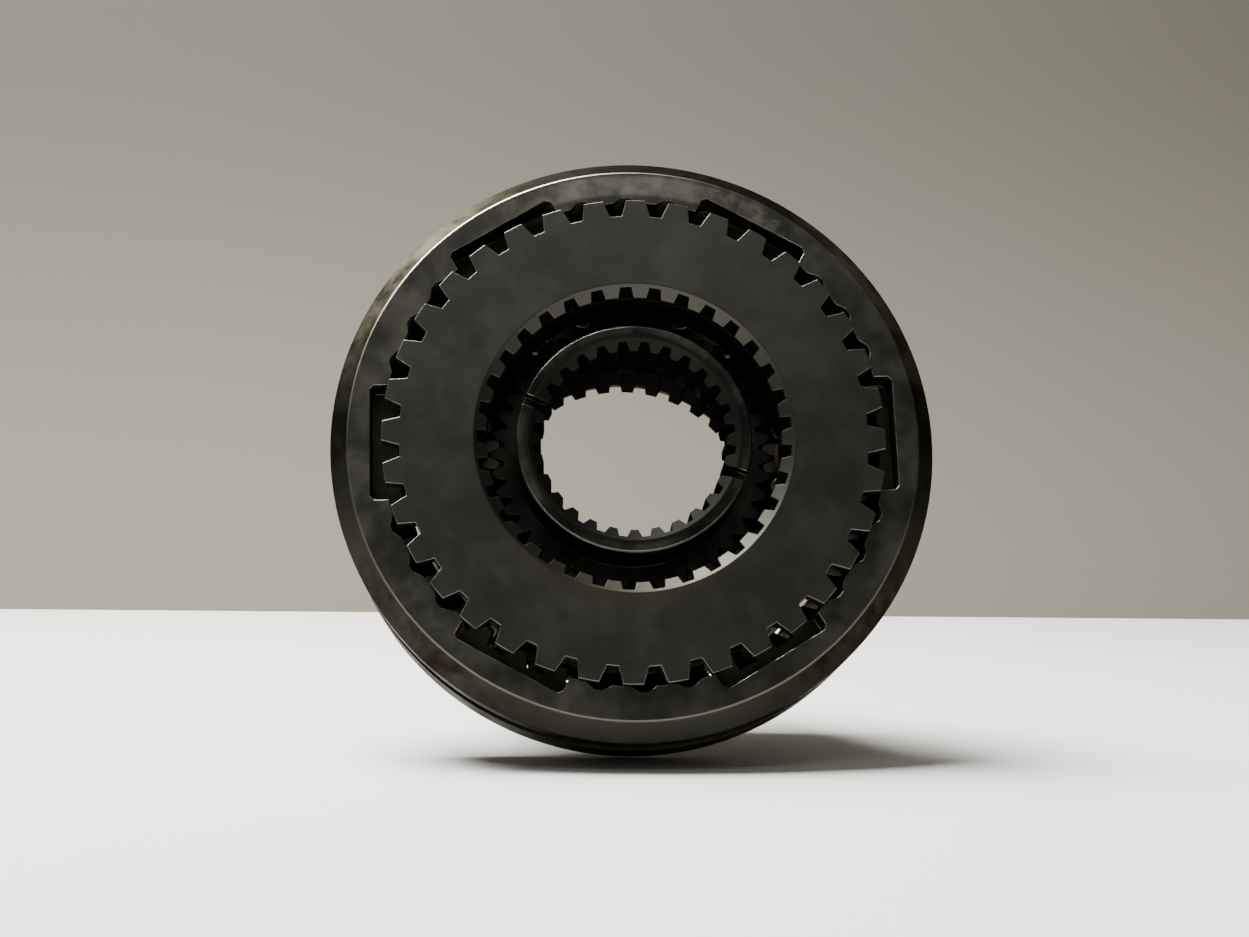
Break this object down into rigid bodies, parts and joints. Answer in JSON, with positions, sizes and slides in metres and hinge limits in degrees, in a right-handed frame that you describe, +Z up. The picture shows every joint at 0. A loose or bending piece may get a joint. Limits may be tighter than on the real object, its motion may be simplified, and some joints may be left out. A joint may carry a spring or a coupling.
{
  "type": "planetary gear set",
  "caption": "Planetary gear set: a sliding ring gear round a toothed clutch plate, a hollow splined sun gear, planets on a carrier and a splined output hub.",
  "frame": {"origin": "on the main axis, in the rear face of the carrier's hub, at the mouth of its pilot bore", "axes": "+Y along the main axis, from the front face of the ring gear towards the rear of the hub; +Z up; +X to the right seen from the front"},
  "size_m": [0.2278, 0.1252, 0.2278],
  "materials": {
    "ring_steel": "dark case-hardened steel, oily and mottled",
    "plate_steel": "dark case-hardened steel, oily, worn teeth",
    "sun_steel": "dark case-hardened steel, oily",
    "carrier_steel": "machined and oily",
    "planet_steel": "ground flanks, oily",
    "bearing_steel": "ground",
    "screw_steel": "black oxide",
    "washer_bronze": "sintered bronze, oily"
  },
  "bodies": {
    "carrier": {"carrier_body": "carrier_steel", "output_hub": "carrier_steel", "carrier_cover": "carrier_steel", "carrier_screws": "screw_steel", "planet_pin_1": "bearing_steel", "planet_pin_2": "bearing_steel", "planet_pin_3": "bearing_steel", "planet_pin_4": "bearing_steel", "planet_pin_5": "bearing_steel", "planet_pin_6": "bearing_steel", "planet_needles_1": "bearing_steel", "planet_needles_2": "bearing_steel", "planet_needles_3": "bearing_steel", "planet_needles_4": "bearing_steel", "planet_needles_5": "bearing_steel", "planet_needles_6": "bearing_steel", "planet_washers_front": "washer_bronze", "planet_washers_rear": "washer_bronze", "pin_lock_pins": "bearing_steel", "front_thrust_washer": "washer_bronze", "sun_thrust_washer": "washer_bronze"},
    "ring": {"ring_gear": "ring_steel"},
    "sun": {"sun_gear": "sun_steel"},
    "clutch_plate": {"hub_plate": "plate_steel"},
    "planet_1": {"planet_gear_1": "planet_steel"},
    "planet_2": {"planet_gear_2": "planet_steel"},
    "planet_3": {"planet_gear_3": "planet_steel"},
    "planet_4": {"planet_gear_4": "planet_steel"},
    "planet_5": {"planet_gear_5": "planet_steel"},
    "planet_6": {"planet_gear_6": "planet_steel"}
  },
  "joints": [
    {"name": "ring_spin", "type": "hinge", "parent": "carrier", "child": "ring", "pos_m": [0, -0.0972, 0], "axis": [0, 1, 0], "continuous": true},
    {"name": "sun_spin", "type": "hinge", "parent": "carrier", "child": "sun", "pos_m": [0, -0.0942, 0], "axis": [0, 1, 0], "continuous": true},
    {"name": "clutch_plate_spin", "type": "hinge", "parent": "carrier", "child": "clutch_plate", "pos_m": [0, -0.1208, 0], "axis": [0, 1, 0], "continuous": true},
    {"name": "planet_1_spin", "type": "hinge", "parent": "carrier", "child": "planet_1", "pos_m": [0.07125, -0.08515, 0], "axis": [0, 1, 0], "continuous": true},
    {"name": "planet_2_spin", "type": "hinge", "parent": "carrier", "child": "planet_2", "pos_m": [0.03562, -0.08515, 0.0617], "axis": [0, 1, 0], "continuous": true},
    {"name": "planet_3_spin", "type": "hinge", "parent": "carrier", "child": "planet_3", "pos_m": [-0.03562, -0.08515, 0.0617], "axis": [0, 1, 0], "continuous": true},
    {"name": "planet_4_spin", "type": "hinge", "parent": "carrier", "child": "planet_4", "pos_m": [-0.07125, -0.08515, 0], "axis": [0, 1, 0], "continuous": true},
    {"name": "planet_5_spin", "type": "hinge", "parent": "carrier", "child": "planet_5", "pos_m": [-0.03562, -0.08515, -0.0617], "axis": [0, 1, 0], "continuous": true},
    {"name": "planet_6_spin", "type": "hinge", "parent": "carrier", "child": "planet_6", "pos_m": [0.03562, -0.08515, -0.0617], "axis": [0, 1, 0], "continuous": true}
  ],
  "couplings": [
    {"joint": "sun_spin", "follows": "ring_spin", "ratio": -1.7143},
    {"joint": "planet_1_spin", "follows": "ring_spin", "ratio": 4.8},
    {"joint": "planet_2_spin", "follows": "ring_spin", "ratio": 4.8},
    {"joint": "planet_3_spin", "follows": "ring_spin", "ratio": 4.8},
    {"joint": "planet_4_spin", "follows": "ring_spin", "ratio": 4.8},
    {"joint": "planet_5_spin", "follows": "ring_spin", "ratio": 4.8},
    {"joint": "planet_6_spin", "follows": "ring_spin", "ratio": 4.8}
  ]
}
